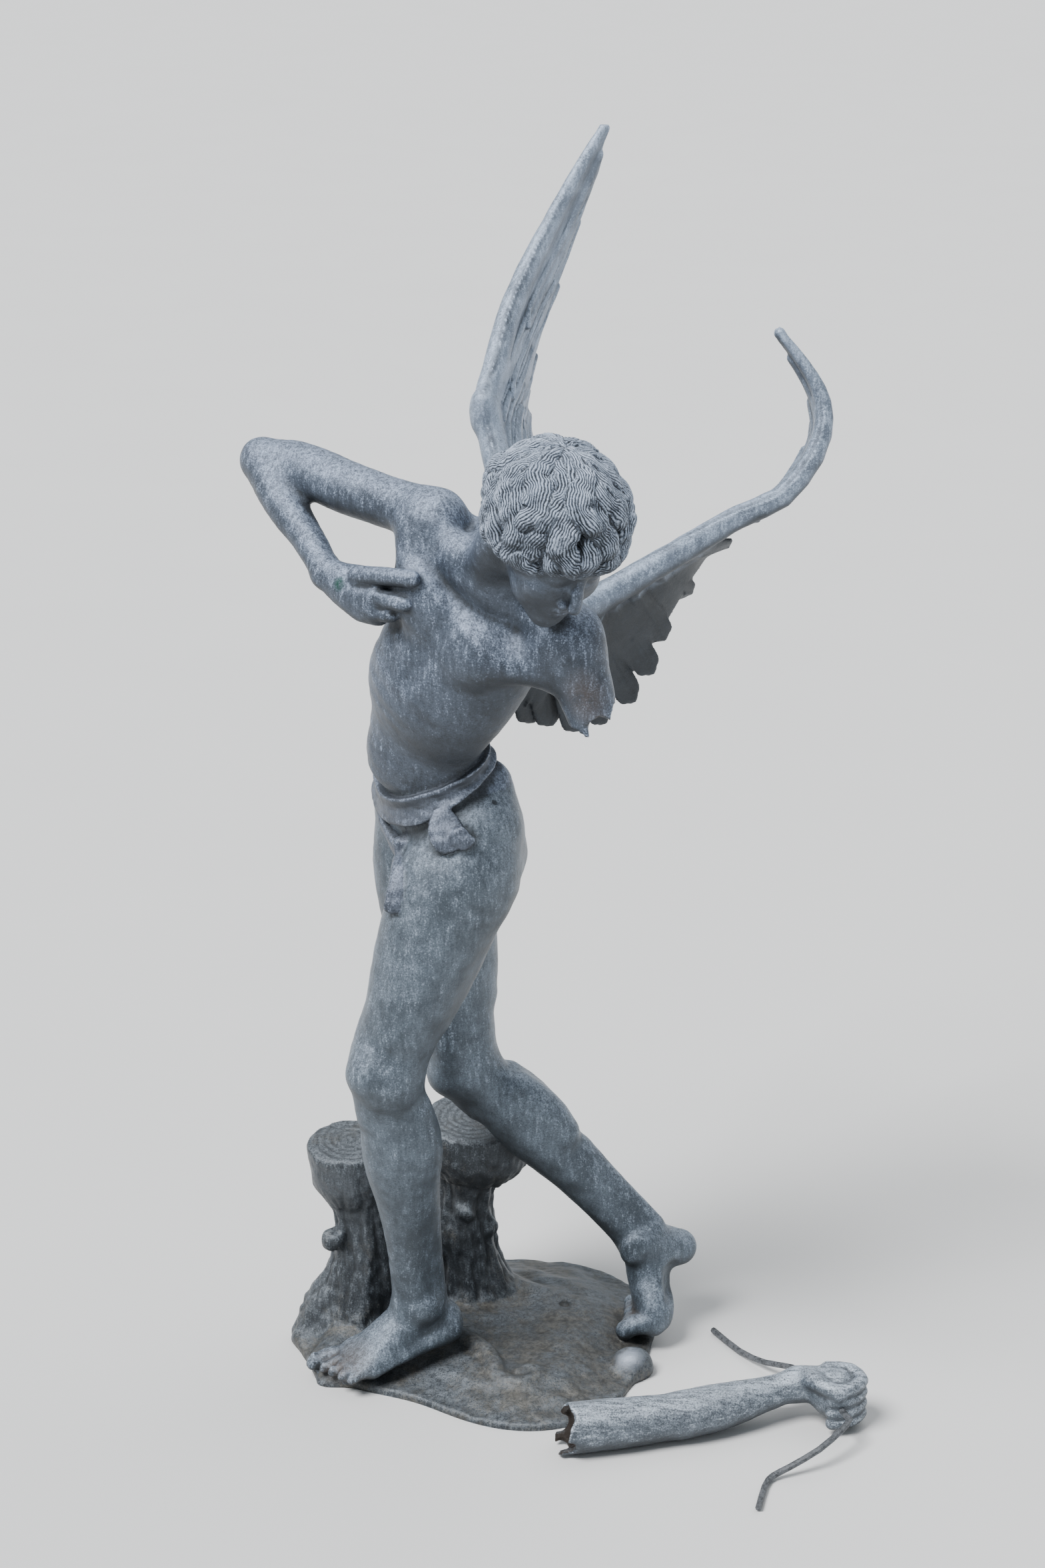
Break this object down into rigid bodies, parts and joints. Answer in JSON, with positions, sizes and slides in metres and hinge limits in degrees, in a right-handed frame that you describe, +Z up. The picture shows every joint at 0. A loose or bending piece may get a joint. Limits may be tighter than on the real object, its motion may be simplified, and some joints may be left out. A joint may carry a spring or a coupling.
{
  "type": "winged cupid garden statue",
  "caption": "Weathered cast lead figure of a winged youth leaning on a sawn tree stump, its left arm broken off and lying beside the base with a bent rod through the fist.",
  "frame": {"origin": "centre of the flat underside of the ground plate, on the floor", "axes": "+Z up; the figure's chest faces -Y, and the loose arm lies to +X"},
  "size_m": [0.5982, 0.5468, 1.1981],
  "materials": {
    "statue": "weathered lead with pale oxide and dirt",
    "broken_arm": "weathered lead, paler than the figure",
    "bow_rod": "dark rusted iron"
  },
  "bodies": {
    "root": {"statue": "statue", "broken_arm": "broken_arm", "bow_rod": "bow_rod"}
  },
  "joints": []
}
